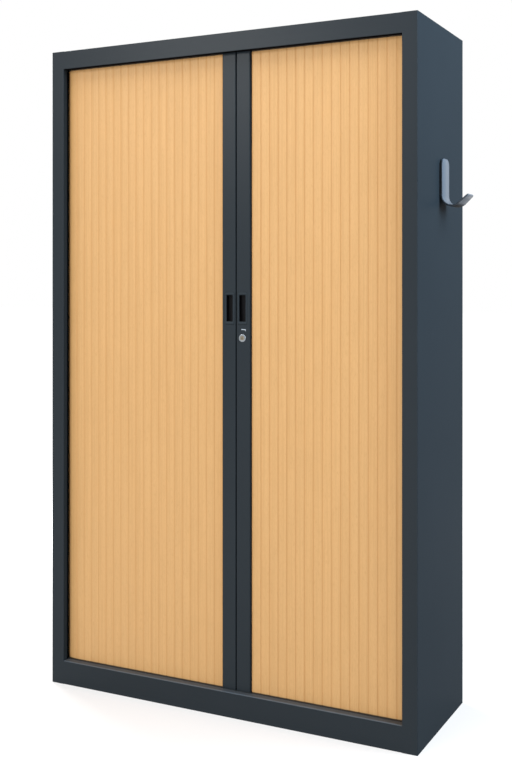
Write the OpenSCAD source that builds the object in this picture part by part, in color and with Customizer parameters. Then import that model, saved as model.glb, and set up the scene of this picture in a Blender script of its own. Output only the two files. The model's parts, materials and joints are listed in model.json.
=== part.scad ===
// Tambour cabinet: a folded steel carcass whose two slatted curtains slide sideways in curved tracks.
// Millimetres. Origin on the floor at the middle of the carcass, front towards -Y, +Z up.

/* [Carcass] */
// Width over the side panels
cabinet_w = 1200; // [1000:1:1400]
// Height from the floor to the top
cabinet_h = 1980; // [1400:1:2200]
// Depth from the front faces to the back
cabinet_d = 420; // [400:1:500]
// Thickness of the folded steel sheets
sheet_t = 1; // [0.8:0.1:1.5]
// Inner radius of the folds in the steel sheets
fold_r = 0.8; // [0.4:0.1:0.8]
// Width of the front face of each upright
upright_w = 44; // [40:1:60]
// Depth of the returns round the front opening
return_d = 18; // [12:1:24]
// Height of the fascia above the doors
fascia_h = 56; // [45:1:80]
// Height of the plinth below the doors
plinth_h = 72; // [60:1:110]
// Width of the rear, bottom and stiffening flanges
flange_w = 20; // [14:1:28]
// Height of the hollow beam between the top and the upper tracks
ceiling_drop = 36; // [30:1:50]
// Depth of the standing seam between the two back panels
seam_d = 12; // [8:1:20]

/* [Curtains] */
// Distance from hinge to hinge along a curtain
slat_pitch = 27.45; // [24:0.05:32]
// Thickness of a slat at its edges
slat_t = 8; // [7:0.1:9]
// Rise of the rounded slat face
slat_crown = 0.7; // [0.3:0.1:1]
// Number of slats in each curtain
slat_count = 22; // [20:1:23]
// Radius of the bead that hooks a slat into the next one
bead_r = 2.3; // [2:0.1:2.5]
// Thickness of the neck that carries the bead
neck_t = 1.4; // [1:0.1:1.6]
// Radius of the rounded slat edge round its socket
knuckle_r = 3.7; // [3.4:0.1:3.9]
// Length from the socket centre to the square shoulder of the slat
shoulder = 1; // [0.8:0.1:1.4]
// Clearance inside the slat hinges
hinge_gap = 0.3; // [0.2:0.05:0.4]
// Wall and rib thickness of the hollow slats
slat_wall = 1.6; // [1.2:0.1:2]

/* [Tracks] */
// Radius of the track corners at the slat hinges
corner_r = 45; // [40:1:55]
// Distance from the side panel's outer face to the hinges of the stored curtain
side_gap = 18; // [17:0.5:24]
// Distance from the back to the hinges of the stored curtain
rear_gap = 20; // [18:0.5:28]
// Length of track along the back on each side
rear_run = 215; // [190:1:300]
// Height of the lower track
track_h = 12; // [10:0.5:16]
// Wall thickness of the tracks
track_wall = 3; // [2:0.1:4]
// Gap between the straight track lengths and the corner pieces
track_joint = 0.2; // [0.1:0.05:0.4]
// Clearance between the slat faces and the groove
run_gap = 0.4; // [0.3:0.1:0.8]
// Clearance under the slats and glides at their seats
seat_gap = 0.3; // [0.2:0.05:0.5]
// Room above the slats for lifting them into the tracks
lift_gap = 3; // [2:0.5:5]

/* [Doors] */
// Place of the line where the closed doors meet, from the middle of the cabinet
meeting_x = 43; // [-60:1:60]
// Gap between the closed doors
door_gap = 3; // [2:0.1:6]
// Width of each door stile
stile_w = 43.5; // [42:0.5:60]
// Depth of the stile from front to back
stile_d = 21; // [20:0.5:26]
// Wall thickness of the hollow stile
stile_wall = 2; // [1.5:0.1:2.5]
// Radius of the stile's long edges
stile_r = 2; // [1:0.1:3]
// Gap between the front returns and the stile faces
stile_clear = 4; // [3:0.5:8]
// Height of the stile face above the slat faces
stile_proud = 8; // [6:0.5:10]
// Gap between the stile ends and the tracks
stile_end_gap = 2; // [1.5:0.1:4]
// Depth of the glide plugs inside the stile
glide_plug = 18; // [10:1:30]
// Clearance round the glide plugs
plug_gap = 0.2; // [0.1:0.05:0.3]

/* [Grips] */
// Distance from the meeting edge of a stile to the middle of its grip and lock
grip_inset = 19.5; // [18.5:0.5:22]
// Height of the middle of the grips
grip_z = 1182; // [700:1:1250]
// Width of the finger opening
grip_w = 20; // [14:0.5:21]
// Height of the finger opening
grip_h = 76; // [60:1:110]
// Depth of the finger recess behind the stile face
grip_d = 13; // [8:0.5:14]
// Width of the bezel outside the finger opening at each side
bezel_side = 5.5; // [4:0.5:7]
// Height of the bezel outside the finger opening at each end
bezel_end = 9.5; // [5:0.5:14]
// Thickness of the bezel on the stile face
bezel_t = 1.5; // [1:0.1:2.5]
// Corner radius of the bezel
bezel_r = 4; // [2:0.5:6]
// Wall thickness of the grip cup
cup_wall = 1.4; // [1:0.1:2]

/* [Lock] */
// Distance from the grip middle down to the lock
lock_drop = 86; // [76:1:120]
// Radius of the lock's face flange
lock_flange_r = 11.5; // [10.5:0.1:13]
// Height of the lock flange above the stile face
lock_proud = 2.5; // [1.5:0.1:4]
// Radius of the lock barrel
barrel_r = 9; // [8.5:0.1:9.5]
// Length of the lock barrel behind the stile face
barrel_l = 12; // [10:0.5:12.5]
// Radius of the turning plug
plug_r = 6.5; // [5.5:0.1:7]
// Width of the key slot
key_w = 1.8; // [1.2:0.1:2.5]
// Height of the key slot
key_h = 8; // [6:0.5:9]
// Depth of the key slot
key_d = 8; // [4:0.5:10]
// Thickness of the hook cam
cam_t = 3; // [2:0.1:3.4]
// Length of the hook cam from the lock axis
cam_l = 33; // [32:0.5:34]
// Width of the hook cam
cam_w = 8; // [7:0.5:9]
// Thickness of the keeper plate
keeper_t = 1.5; // [1:0.1:2]
// Thickness of the lock nut
lock_nut_t = 3.5; // [2.5:0.5:5]
// Radius of the lock nut over its corners
lock_nut_r = 13; // [12:0.1:13.5]
// Width of the plug's square tang
tang_w = 5.2; // [4:0.1:6]
// Radius of the cam's hub
cam_hub_r = 7.5; // [6.5:0.1:8]
// Radius of the cam screw's head
cam_screw_r = 3.6; // [3.4:0.1:5]
// Thickness of the cam screw's head
cam_screw_t = 1.5; // [1:0.1:2]
// Clearance of turning and threaded pieces
spin_gap = 0.06; // [0.03:0.01:0.09]
// Clearance of the cam on its tang
tang_gap = 0.1; // [0.05:0.01:0.2]
// Clearance of the hook cam in its slots
cam_gap = 0.8; // [0.5:0.1:1]

/* [Inside] */
// Thickness of the shelf's folded edge at the front and back
shelf_edge = 30; // [22:1:40]
// Width of the lip under the shelf's folded edges
shelf_lip = 12; // [8:1:18]
// Gap between the shelf and the curtain in front of it
shelf_front_gap = 17; // [10:1:40]
// Gap between the shelf and the track behind it
shelf_rear_gap = 8; // [4:1:20]
// Gap between the shelf's ends and the shelf rails
shelf_side_gap = 3.5; // [3:0.1:6]
// Depth of the slotted shelf rails
rail_d = 22; // [16:1:30]
// Width of the slotted shelf rails
rail_w = 30; // [24:1:40]
// Thickness of the shelf rails' steel
rail_t = 1.5; // [1.2:0.1:1.8]
// Distance of the rails from the ends of the side liners
rail_inset = 40; // [32:1:70]
// Distance from slot to slot along a rail
slot_pitch = 40; // [32:1:50]
// Width of a rail slot
slot_w = 4; // [3:0.5:6]
// Height of a rail slot
slot_h = 14; // [12:0.5:18]
// Width of a shelf clip
clip_w = 14; // [10:0.5:20]
// Thickness of a shelf clip
clip_t = 2; // [1.5:0.1:2.4]
// Length of the clip's lip under the shelf's end
clip_lip = 3; // [2:0.1:6]
// Depth of the shelf's folded ends that rest on the clips
shelf_end = 22; // [18:0.5:26]
// Width of the folds at the front and back of the side liners
liner_fold = 15; // [8:1:20]

/* [Feet] */
// Distance of the feet from the cabinet's outer faces
foot_inset = 75; // [66:1:100]
// Radius of the foot pad
foot_pad_r = 16; // [14:0.5:19]
// Thickness of the foot pad
foot_pad_t = 6; // [4:0.5:8]
// Radius of the foot pad's collar round the stud
foot_collar_r = 10; // [8:0.5:12]
// Radius of the foot's stud
stud_r = 5; // [4:0.5:6]
// Radius of the hexagon socket in the stud's top
hex_r = 3; // [2:0.1:3.4]
// Depth of the hexagon socket
hex_d = 5; // [3:0.5:8]
// Height of the foot's stud from the floor
stud_h = 52; // [46:1:56]
// Thickness of the foot nut
foot_nut_t = 8; // [6:0.5:10]
// Radius of the foot nut over its corners
foot_nut_r = 10; // [8:0.5:12]
// Height of the bracket web that carries the foot nut
foot_web_z = 26; // [24:1:30]
// Width of the foot bracket
bracket_w = 50; // [44:1:56]
// Thickness of the foot bracket
bracket_t = 2; // [1.5:0.1:3]
// Radius of the adjusting hole above each foot
access_r = 8; // [7:0.5:10]

/* [Coat hook] */
// Distance from the cabinet front to the middle of the hook
hook_from_front = 222; // [100:1:320]
// Height of the top of the hook plate
hook_top = 1606; // [1300:1:1800]
// Height of the hook from its top to its lowest point
hook_h = 136; // [100:0.5:160]
// Width of the hook plate
hook_w = 66; // [40:1:90]
// Width of the hook's tip
hook_tip_w = 57; // [30:1:66]
// Bevel of the tip's corners
hook_bevel = 5; // [2:0.5:10]
// Thickness of the hook strip
hook_t = 5; // [3:0.1:6]
// Radius of the plate's top corners
hook_corner = 20; // [6:1:26]
// Inner radius of the hook's bend
hook_bend_r = 27; // [14:1:30]
// Angle of the hook's bend
hook_bend = 132; // [100:1:150]
// Length of the straight tip
hook_tip_l = 34; // [24:1:60]
// Thickness of the magnet pad behind the plate
magnet_t = 3.5; // [2:0.1:6]
// Distance of the magnet pad's edge inside the plate's edge
magnet_inset = 4; // [2:0.5:10]

/* [Hidden] */
$fn = 48;

paint = "#3f464d";
grey_steel = "#b4bac0";
beech = "#e3b57d";
black = "#1d1f21";

half_w = cabinet_w / 2;
half_d = cabinet_d / 2;
fold_out = fold_r + sheet_t;
open_x = half_w - upright_w;
rear_x = half_w - flange_w;
floor_z = plinth_h - track_h;
ceil_z = cabinet_h - ceiling_drop;

// Slat hinges run along a rounded path: front, corner, side, corner, back
slat_front = -half_d + return_d + stile_clear + stile_proud;
curtain_y = slat_front + slat_crown + slat_t / 2;
side_x = half_w - side_gap;
rear_y = half_d - rear_gap;
corner_x = side_x - corner_r;
front_cy = curtain_y + corner_r;
rear_cy = rear_y - corner_r;
arc_l = corner_r * PI / 2;
s_side = corner_x + arc_l;
s_rear_corner = s_side + rear_cy - front_cy;
s_rear = s_rear_corner + arc_l;

// Groove limits from the hinge line, with room for straight slats in the round corners
slat_sag = corner_r - sqrt(pow(corner_r, 2) - pow(slat_pitch / 2, 2));
groove_out = slat_t / 2 + slat_crown + run_gap;
groove_in = slat_t / 2 + slat_sag + run_gap;
track_out = groove_out + track_wall;
track_in = groove_in + track_wall;
upper_h = track_h + lift_gap;
track_top = ceil_z - upper_h;
slat_z0 = floor_z + track_wall + seat_gap;
slat_z1 = ceil_z - track_wall - lift_gap;

// Slat hinge details
recess_r = norm([shoulder, slat_t / 2]) + hinge_gap;
socket_r = bead_r + hinge_gap;
slat_end = slat_pitch - sqrt(pow(recess_r, 2) - pow(slat_t / 2, 2));
bend_angle = 2 * asin(slat_pitch / 2 / corner_r);

// Stiles, measured from the meeting line
stile_x0 = door_gap / 2;
stile_x1 = stile_x0 + stile_w;
stile_face = -half_d + return_d + stile_clear;
stile_back = stile_face + stile_d;
stile_z0 = plinth_h + stile_end_gap;
stile_z1 = track_top - stile_end_gap;
hinge_x = stile_x1 + recess_r;
grip_x = stile_x0 + grip_inset;
lock_z = grip_z - lock_drop;
cup_d = grip_d + cup_wall;
cup_w = grip_w + 2 * cup_wall;
cup_h = grip_h + 2 * cup_wall;

// Hook cam: it stands up when open and lies across both stiles when locked
cam_y = stile_face + barrel_l + hinge_gap;
cam_slot_y = cam_y - cam_gap;
cam_slot_t = cam_t + 2 * cam_gap;
right_wall_in = grip_inset - stile_wall;
left_wall_in = grip_inset + door_gap;
keeper_end = left_wall_in + stile_wall + keeper_t;
notch_r0 = left_wall_in - cam_gap;
notch_r1 = keeper_end + cam_gap;
cam_reach = norm([cam_l, cam_w / 2]);

// Side liners, rails and shelves
liner_x = side_x - track_in - plug_gap;
rail_face = liner_x - sheet_t - rail_d;
shelf_x = rail_face - shelf_side_gap;
shelf_y0 = stile_back + shelf_front_gap;
shelf_y1 = rear_y - track_in - shelf_rear_gap;
rail_front = front_cy + rail_inset;
rail_rear = rear_cy - rail_inset;
slot_count = floor((ceil_z - floor_z) / slot_pitch) - 1;
shelf_count = 4;

// Coat hook
hook_y = -half_d + hook_from_front;
hook_x = half_w + magnet_t;
hook_cx = hook_x + hook_t + hook_bend_r;
hook_cz = hook_top - hook_h + hook_bend_r + hook_t;
// Straight stretches that make up the round bend
hook_steps = 40;

// Height of a rail slot's middle, counted from the floor panel
function slot_z(k) = floor_z + slot_pitch * k;
// Rail slot that carries shelf i
function shelf_slot(i) = round(i * (slot_count + 1) / (shelf_count + 1));
// Height of the top of shelf i
function shelf_z(i) = slot_z(shelf_slot(i)) + shelf_end;

// Point of the hinge path at distance s from the middle of the cabinet, on the right-hand side
function path_xy(s) =
    s < corner_x ? [s, curtain_y]
    : s < s_side ? let (a = (s - corner_x) / arc_l * 90)
        [corner_x + corner_r * sin(a), front_cy - corner_r * cos(a)]
    : s < s_rear_corner ? [side_x, front_cy + s - s_side]
    : s < s_rear ? let (a = (s - s_rear_corner) / arc_l * 90)
        [corner_x + corner_r * cos(a), rear_cy + corner_r * sin(a)]
    : [corner_x - s + s_rear, rear_y];
// Path distance of the next hinge, one straight slat away, closed in on in n steps
function next_hinge(s, guess, n) =
    n == 0 ? guess : next_hinge(s, guess + slat_pitch - norm(path_xy(guess) - path_xy(s)), n - 1);
// Path distance of hinge i of a curtain whose first hinge lies at s0
function hinge_s(i, s0) =
    i == 0 ? s0 : let (s = hinge_s(i - 1, s0)) next_hinge(s, s + slat_pitch, 12);

// Box between two corners
module block(lo, hi) {
    translate(lo) cube(hi - lo);
}

// Right-hand shape as it is for side 1, mirrored for side -1
module on_side(side) {
    mirror([side < 0 ? 1 : 0, 0, 0]) children();
}

// Rectangle between two corners, with round corners of its own
module round_rect(lo, hi, r) {
    size = hi - lo;
    translate(lo + [r, 0]) square(size - [2 * r, 0]);
    translate(lo + [0, r]) square(size - [0, 2 * r]);
    for (x = [lo.x + r, hi.x - r], y = [lo.y + r, hi.y - r]) translate([x, y]) circle(r);
}

// Sheet folded all the way round a rectangle; what a panel lacks is cut away from it
module sheet_loop(lo, hi) {
    wall = [sheet_t, sheet_t];
    difference() {
        round_rect(lo, hi, fold_out);
        round_rect(lo + wall, hi - wall, fold_r);
    }
}

// Flat cut-out between two corners
module cut(lo, hi) {
    translate(lo) square(hi - lo);
}

// Profile drawn in depth and height, carried across the cabinet from -x to x
module across(x) {
    translate([-x, 0, 0]) rotate([90, 0, 90]) linear_extrude(2 * x) children();
}

// The same about the line where the doors meet
module at_door(side) {
    translate([meeting_x, 0, 0]) on_side(side) children();
}

// Side panel: outer wall, upright face and return in one folding, rear flange and bottom flange
module side_panel(side) {
    weld = 2 * fold_out;
    color(paint) on_side(side) difference() {
        union() {
            linear_extrude(cabinet_h) difference() {
                sheet_loop([open_x, -half_d], [half_w, half_d]);
                cut([open_x - sheet_t, -half_d + return_d], [rear_x, half_d + sheet_t]);
            }
            block([rear_x, -half_d + return_d, 0], [half_w, half_d - 2 * sheet_t, sheet_t]);
            // Ground welds that make the upright flush with the plinth and the fascia
            for (z = [[0, plinth_h], [cabinet_h - fascia_h, cabinet_h]])
                block([open_x, -half_d, z[0]], [open_x + weld, -half_d + weld, z[1]]);
        }
        // Notch for the cover sheet
        block([open_x - sheet_t, -half_d + sheet_t, cabinet_h - sheet_t],
            [open_x + 2 * weld, -half_d + return_d + sheet_t, cabinet_h + sheet_t]);
    }
}

// Top: cover sheet, front fascia with its return and rear flange
module top_panel() {
    cover_z = cabinet_h - sheet_t;
    seam_x = half_w - sheet_t - fold_r;
    color(paint) {
        across(open_x) difference() {
            sheet_loop([-half_d, cabinet_h - fascia_h], [half_d, cabinet_h]);
            cut([-half_d + return_d, 0], [half_d + sheet_t, cabinet_h - flange_w]);
        }
        for (side = [-1, 1]) on_side(side) {
            block([open_x, -half_d + sheet_t, cover_z], [seam_x, half_d - sheet_t, cabinet_h]);
            block([open_x, half_d - sheet_t, cabinet_h - flange_w], [rear_x, half_d, cabinet_h]);
        }
    }
}

// Inner ceiling that carries the upper tracks, folded up to the cover sheet at the front and back
module ceiling_panel() {
    y0 = -half_d + return_d;
    y1 = half_d - 2 * sheet_t;
    color(paint) across(half_w - sheet_t) difference() {
        sheet_loop([y0, ceil_z], [y1, cabinet_h + ceiling_drop]);
        cut([y0 - sheet_t, cabinet_h - sheet_t], [y1 + sheet_t, cabinet_h + 2 * ceiling_drop]);
    }
}

// Plinth: front face, bottom flange, and a ledge that steps down to the floor panel in front of the track
module plinth() {
    ledge_y = curtain_y - track_out;
    color(paint) across(open_x) difference() {
        sheet_loop([-half_d, 0], [ledge_y, plinth_h]);
        cut([-half_d + flange_w, -sheet_t], [ledge_y + sheet_t, floor_z]);
    }
}

// Places of the four feet
module at_feet() {
    for (x = [-1, 1], y = [-1, 1])
        translate([x * (half_w - foot_inset), y * (half_d - foot_inset), 0]) children();
}

// Floor panel with its rear skirt and the adjusting holes above the feet
module floor_panel() {
    y0 = -half_d + return_d;
    y1 = half_d - 2 * sheet_t;
    color(paint) difference() {
        union() {
            across(rear_x) difference() {
                sheet_loop([y0 - floor_z, -floor_z], [y1, floor_z]);
                cut([y0 - 2 * floor_z, -2 * floor_z], [y0, 2 * floor_z]);
                cut([y0 - floor_z, -2 * floor_z], [y1 + sheet_t, 0]);
            }
            for (side = [-1, 1]) on_side(side)
                block([rear_x, y0, floor_z - sheet_t], [half_w - sheet_t, y1, floor_z]);
        }
        at_feet() translate([0, 0, floor_z - 2 * sheet_t]) cylinder(r = access_r, h = 3 * sheet_t);
    }
}

// Back panel half with the standing seam at its inner edge
module back_panel(side) {
    y0 = half_d - 2 * sheet_t;
    color(paint) on_side(side) {
        block([0, y0, 0], [half_w - sheet_t - fold_r, half_d - sheet_t, cabinet_h - sheet_t - fold_r]);
        block([0, y0 - seam_d, floor_z], [sheet_t, half_d - sheet_t, ceil_z]);
    }
}

// Inner cheek that keeps stored goods away from the rolled-back curtain
module side_liner(side) {
    fold_x = liner_x - liner_fold;
    color(paint) on_side(side) translate([0, 0, floor_z]) linear_extrude(ceil_z - floor_z) difference() {
        sheet_loop([fold_x - liner_fold, front_cy], [liner_x, rear_cy]);
        cut([fold_x - 2 * liner_fold, front_cy - sheet_t], [fold_x, rear_cy + sheet_t]);
    }
}

// Two slotted U-channels that carry the shelf clips
module shelf_rails(side) {
    back_x = liner_x - sheet_t;
    color(grey_steel) on_side(side) for (y = [rail_front, rail_rear]) difference() {
        block([rail_face, y - rail_w / 2, floor_z], [back_x, y + rail_w / 2, ceil_z]);
        block([rail_face + rail_t, y - rail_w / 2 + rail_t, floor_z - rail_t],
            [back_x + rail_t, y + rail_w / 2 - rail_t, ceil_z + rail_t]);
        for (k = [1:slot_count]) translate([rail_face + rail_t / 2, y, slot_z(k)])
            cube([2 * rail_t, slot_w, slot_h], center = true);
    }
}

// Folded steel shelf, open below: edges with a lip at the front and back, plain folded ends
module shelf(i) {
    z = shelf_z(i);
    color(paint) {
        across(shelf_x) difference() {
            sheet_loop([shelf_y0, z - shelf_edge], [shelf_y1, z]);
            cut([shelf_y0 + shelf_lip, z - 2 * shelf_edge], [shelf_y1 - shelf_lip, z - shelf_edge / 2]);
        }
        for (side = [-1, 1]) on_side(side)
            block([shelf_x - sheet_t, shelf_y0 + fold_out, z - shelf_end], [shelf_x, shelf_y1 - fold_out, z]);
    }
}

// One clip: plate against the rail, lip under the shelf's folded end, tongue hooked into the slot
module shelf_clip() {
    slot_gap = (slot_w - clip_t) / 2;
    tongue_h = slot_h - 2 * slot_gap;
    lip_l = shelf_side_gap + clip_lip;
    block([rail_face - clip_t, -clip_w / 2, -clip_t], [rail_face, clip_w / 2, tongue_h]);
    block([rail_face - lip_l, -clip_w / 2, -clip_t], [rail_face, clip_w / 2, 0]);
    block([rail_face - clip_t, -clip_t / 2, -tongue_h / 2],
        [rail_face + 3 * rail_t, clip_t / 2, tongue_h / 2]);
    block([rail_face + 2 * rail_t, -clip_t / 2, -slot_h], [rail_face + 3 * rail_t, clip_t / 2, tongue_h / 2]);
}

// All clips, four to a shelf
module shelf_clips() {
    color(grey_steel) for (i = [1:shelf_count], side = [-1, 1], y = [rail_front, rail_rear])
        on_side(side) translate([0, y, shelf_z(i) - shelf_end]) shelf_clip();
}

// Track cross-section from the hinge line outwards, groove upwards
module track_section(h) {
    difference() {
        translate([-track_in, 0]) square([track_in + track_out, h]);
        translate([-groove_in, track_wall]) square([groove_in + groove_out, h]);
    }
}

// Moulded corner piece of a track, from the hinge line along +X to the one along +Y
module track_corner(h) {
    rotate_extrude(angle = 90) translate([corner_r, 0]) track_section(h);
}

// Track along one half of the cabinet: front, corner, side, corner and part of the back
module track_run(h) {
    side_y0 = front_cy + track_joint;
    side_y1 = rear_cy - track_joint;
    translate([0, curtain_y, 0]) rotate([90, 0, 90]) linear_extrude(corner_x - track_joint)
        mirror([1, 0]) track_section(h);
    translate([corner_x, front_cy, 0]) rotate(-90) track_corner(h);
    translate([side_x, side_y1, 0]) rotate([90, 0, 0]) linear_extrude(side_y1 - side_y0)
        track_section(h);
    translate([corner_x, rear_cy, 0]) track_corner(h);
    translate([corner_x - rear_run, rear_y, 0]) rotate([90, 0, 90]) linear_extrude(rear_run - track_joint)
        track_section(h);
}

// Lower track on the floor panel
module lower_track(side) {
    color(black) on_side(side) translate([0, 0, floor_z]) track_run(track_h);
}

// Upper track under the ceiling, groove downwards and deeper for lifting the slats in
module upper_track(side) {
    color(black) on_side(side) translate([0, 0, ceil_z]) mirror([0, 0, 1]) track_run(upper_h);
}

// Opening of a slat's socket, wide enough for the next neck to turn inwards round the corner
module socket_mouth() {
    reach = 2 * knuckle_r;
    half = neck_t / 2 + hinge_gap;
    along = [-cos(bend_angle), sin(bend_angle)];
    across = [sin(bend_angle), cos(bend_angle)];
    polygon([[0, -half], [-reach, -half], reach * along + half * across, half * across]);
}

// Two hollow chambers of a slat, with a rib between them
module slat_chambers() {
    x0 = knuckle_r + slat_wall;
    x1 = slat_pitch - recess_r - shoulder - slat_wall;
    chamber_l = (x1 - x0 - slat_wall) / 2;
    for (x = [x0, x1 - chamber_l]) translate([x, -slat_t / 2 + slat_wall])
        square([chamber_l, slat_t - 2 * slat_wall]);
}

// Slat cross-section from its socket to its bead, crowned face towards -Y
module slat_section() {
    face_l = slat_end - shoulder;
    crown_l = face_l - 2 * slat_crown;
    crown_r = (pow(crown_l / 2, 2) + pow(slat_crown, 2)) / (2 * slat_crown);
    difference() {
        union() {
            difference() {
                union() {
                    circle(knuckle_r);
                    translate([shoulder, -slat_t / 2]) square([slat_pitch - shoulder, slat_t]);
                    intersection() {
                        translate([shoulder + face_l / 2, crown_r - slat_t / 2 - slat_crown])
                            circle(crown_r, $fn = 96);
                        translate([shoulder + slat_crown / 2, -slat_t]) square([face_l - slat_crown, slat_t]);
                    }
                }
                translate([slat_pitch, 0]) circle(recess_r);
            }
            translate([slat_pitch - recess_r - shoulder, -neck_t / 2]) square([recess_r + shoulder, neck_t]);
            translate([slat_pitch, 0]) circle(bead_r);
        }
        circle(socket_r);
        socket_mouth();
        slat_chambers();
    }
}

// Curtain of hooked slats, each laid between two hinges of the path
module curtain(side) {
    s0 = side * meeting_x + hinge_x;
    color(beech) on_side(side) for (i = [0:slat_count - 1]) {
        a = path_xy(hinge_s(i, s0));
        b = path_xy(hinge_s(i + 1, s0));
        translate([a.x, a.y, slat_z0]) rotate(atan2(b.y - a.y, b.x - a.x))
            linear_extrude(slat_z1 - slat_z0) slat_section();
    }
}

// Outer cross-section of a stile, with round edges
module stile_outline() {
    round_rect([stile_x0, stile_face], [stile_x1, stile_back], stile_r);
}

// Stile cross-section: hollow box with the bead for the first slat
module stile_section() {
    difference() {
        stile_outline();
        cut([stile_x0 + stile_wall, stile_face + stile_wall], [stile_x1 - stile_wall, stile_back - stile_wall]);
    }
    translate([stile_x1 - stile_wall / 2, curtain_y - neck_t / 2])
        square([recess_r + stile_wall / 2, neck_t]);
    translate([hinge_x, curtain_y]) circle(bead_r);
}

// Slot in a stile's meeting wall that lets the hook cam swing through, from below_z up to the cam's sweep
module cam_slot(wall_in, below_z) {
    sweep = sqrt(pow(cam_reach, 2) - pow(wall_in, 2)) + cam_gap;
    translate([stile_x0 - stile_wall / 2, cam_slot_y, lock_z - below_z])
        cube([2 * stile_wall, cam_slot_t, below_z + sweep]);
}

// Stile with the cut-out for its grip cup
module stile() {
    difference() {
        translate([0, 0, stile_z0]) linear_extrude(stile_z1 - stile_z0) stile_section();
        translate([grip_x, stile_face, grip_z])
            cube([cup_w + 2 * plug_gap, 3 * stile_wall, cup_h + 2 * plug_gap], center = true);
    }
}

// Left stile, with the slot that the hook cam enters
module left_stile() {
    color(paint) at_door(-1) difference() {
        stile();
        cam_slot(left_wall_in, cam_gap);
    }
}

// Right stile, with the hole for the lock barrel and the slot for the hook cam
module right_stile() {
    color(paint) at_door(1) difference() {
        stile();
        cam_slot(right_wall_in, cam_w / 2 + cam_gap);
        translate([grip_x, stile_face - stile_wall, lock_z]) rotate([-90, 0, 0])
            cylinder(r = barrel_r + spin_gap, h = 3 * stile_wall);
    }
}

// End glide of a stile, seen at the bottom: cap, plug inside the stile, tongue in the groove
module stile_glide(tongue) {
    gap = stile_wall + plug_gap;
    translate([0, 0, seat_gap]) linear_extrude(stile_end_gap - seat_gap) stile_outline();
    block([stile_x0 + gap, stile_face + gap, seat_gap],
        [stile_x1 - gap, stile_back - gap, stile_end_gap + glide_plug]);
    block([stile_x0 + gap, curtain_y - slat_t / 2, -tongue],
        [stile_x1 - gap, curtain_y + slat_t / 2, stile_end_gap]);
}

// Both glides of one door
module stile_glides(side) {
    color(black) at_door(side) {
        translate([0, 0, plinth_h]) stile_glide(track_h - track_wall - seat_gap);
        translate([0, 0, track_top]) mirror([0, 0, 1]) stile_glide(upper_h - track_wall - lift_gap);
    }
}

// Grip cup: bezel on the stile face and a finger recess through it
module grip_cup(side) {
    bezel = [grip_w / 2 + bezel_side, grip_h / 2 + bezel_end];
    color(black) at_door(side) translate([grip_x, stile_face, grip_z]) difference() {
        union() {
            rotate([90, 0, 0]) linear_extrude(bezel_t) round_rect(-bezel, bezel, bezel_r);
            block([-cup_w / 2, -bezel_t / 2, -cup_h / 2], [cup_w / 2, cup_d, cup_h / 2]);
        }
        block([-grip_w / 2, -2 * bezel_t, -grip_h / 2], [grip_w / 2, grip_d, grip_h / 2]);
    }
}

// Keeper plate behind the left stile's slot
module lock_keeper() {
    x0 = stile_x0 + stile_wall;
    side_room = stile_wall + plug_gap;
    sweep = sqrt(pow(cam_reach, 2) - pow(left_wall_in, 2)) + cam_gap;
    color(grey_steel) at_door(-1) difference() {
        block([x0, stile_face + side_room, lock_z - cam_l / 2],
            [x0 + keeper_t, stile_back - side_room, lock_z + sweep + cam_w]);
        block([x0 - keeper_t, cam_slot_y, lock_z - cam_gap],
            [x0 + 2 * keeper_t, cam_slot_y + cam_slot_t, lock_z + sweep]);
    }
}

// Places a shape drawn along +Z on the lock axis, with z = 0 at the stile face
module at_lock() {
    at_door(1) translate([grip_x, stile_face, lock_z]) rotate([-90, 0, 0]) children();
}

// Lock body: face flange and barrel with the bore of the plug
module lock_body() {
    color(grey_steel) at_lock() difference() {
        union() {
            translate([0, 0, -lock_proud])
                cylinder(r1 = lock_flange_r - lock_proud / 2, r2 = lock_flange_r, h = lock_proud / 2);
            translate([0, 0, -lock_proud / 2]) cylinder(r = lock_flange_r, h = lock_proud / 2);
            cylinder(r = barrel_r, h = barrel_l);
        }
        translate([0, 0, -2 * lock_proud]) cylinder(r = plug_r + spin_gap, h = barrel_l + 3 * lock_proud);
    }
}

// Nut that holds the lock body behind the stile's front wall
module lock_nut() {
    color(grey_steel) at_lock() translate([0, 0, stile_wall]) difference() {
        cylinder(r = lock_nut_r, h = lock_nut_t, $fn = 6);
        translate([0, 0, -stile_wall / 2]) cylinder(r = barrel_r + spin_gap, h = lock_nut_t + stile_wall);
    }
}

// Turning plug with its key slot and the square tang for the cam
module lock_plug() {
    color(grey_steel) at_lock() difference() {
        union() {
            translate([0, 0, -lock_proud]) cylinder(r = plug_r, h = lock_proud + barrel_l + hinge_gap);
            translate([-tang_w / 2, -tang_w / 2, barrel_l]) cube([tang_w, tang_w, hinge_gap + cam_t]);
        }
        translate([-key_w / 2, -key_h / 2, -2 * lock_proud]) cube([key_w, key_h, key_d + lock_proud]);
    }
}

// Hook cam: hub with a square hole, arm upwards and a notch that drops behind the keeper when it turns
module lock_cam() {
    hole = tang_w + 2 * tang_gap;
    color(grey_steel) at_lock() translate([0, 0, barrel_l + hinge_gap]) linear_extrude(cam_t) difference() {
        union() {
            circle(cam_hub_r);
            translate([-cam_w / 2, -cam_l]) square([cam_w, cam_l]);
        }
        translate([-cam_w, -notch_r1]) square([cam_w, notch_r1 - notch_r0]);
        square(hole, center = true);
    }
}

// Screw that holds the cam on the tang
module lock_cam_screw() {
    color(grey_steel) at_lock() translate([0, 0, barrel_l + hinge_gap + cam_t])
        cylinder(r = cam_screw_r, h = cam_screw_t);
}

// Outline of the hook plate from height z0 up, drawn across the plate, smaller by inset
module hook_outline(z0, inset) {
    x = hook_w / 2 - hook_corner;
    r = hook_corner - inset;
    z1 = hook_top - hook_corner;
    translate([-x - r, z0]) square([2 * (x + r), z1 - z0]);
    translate([-x, z0]) square([2 * x, hook_top - inset - z0]);
    for (i = [-1, 1]) translate([i * x, z1]) circle(r);
}

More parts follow.
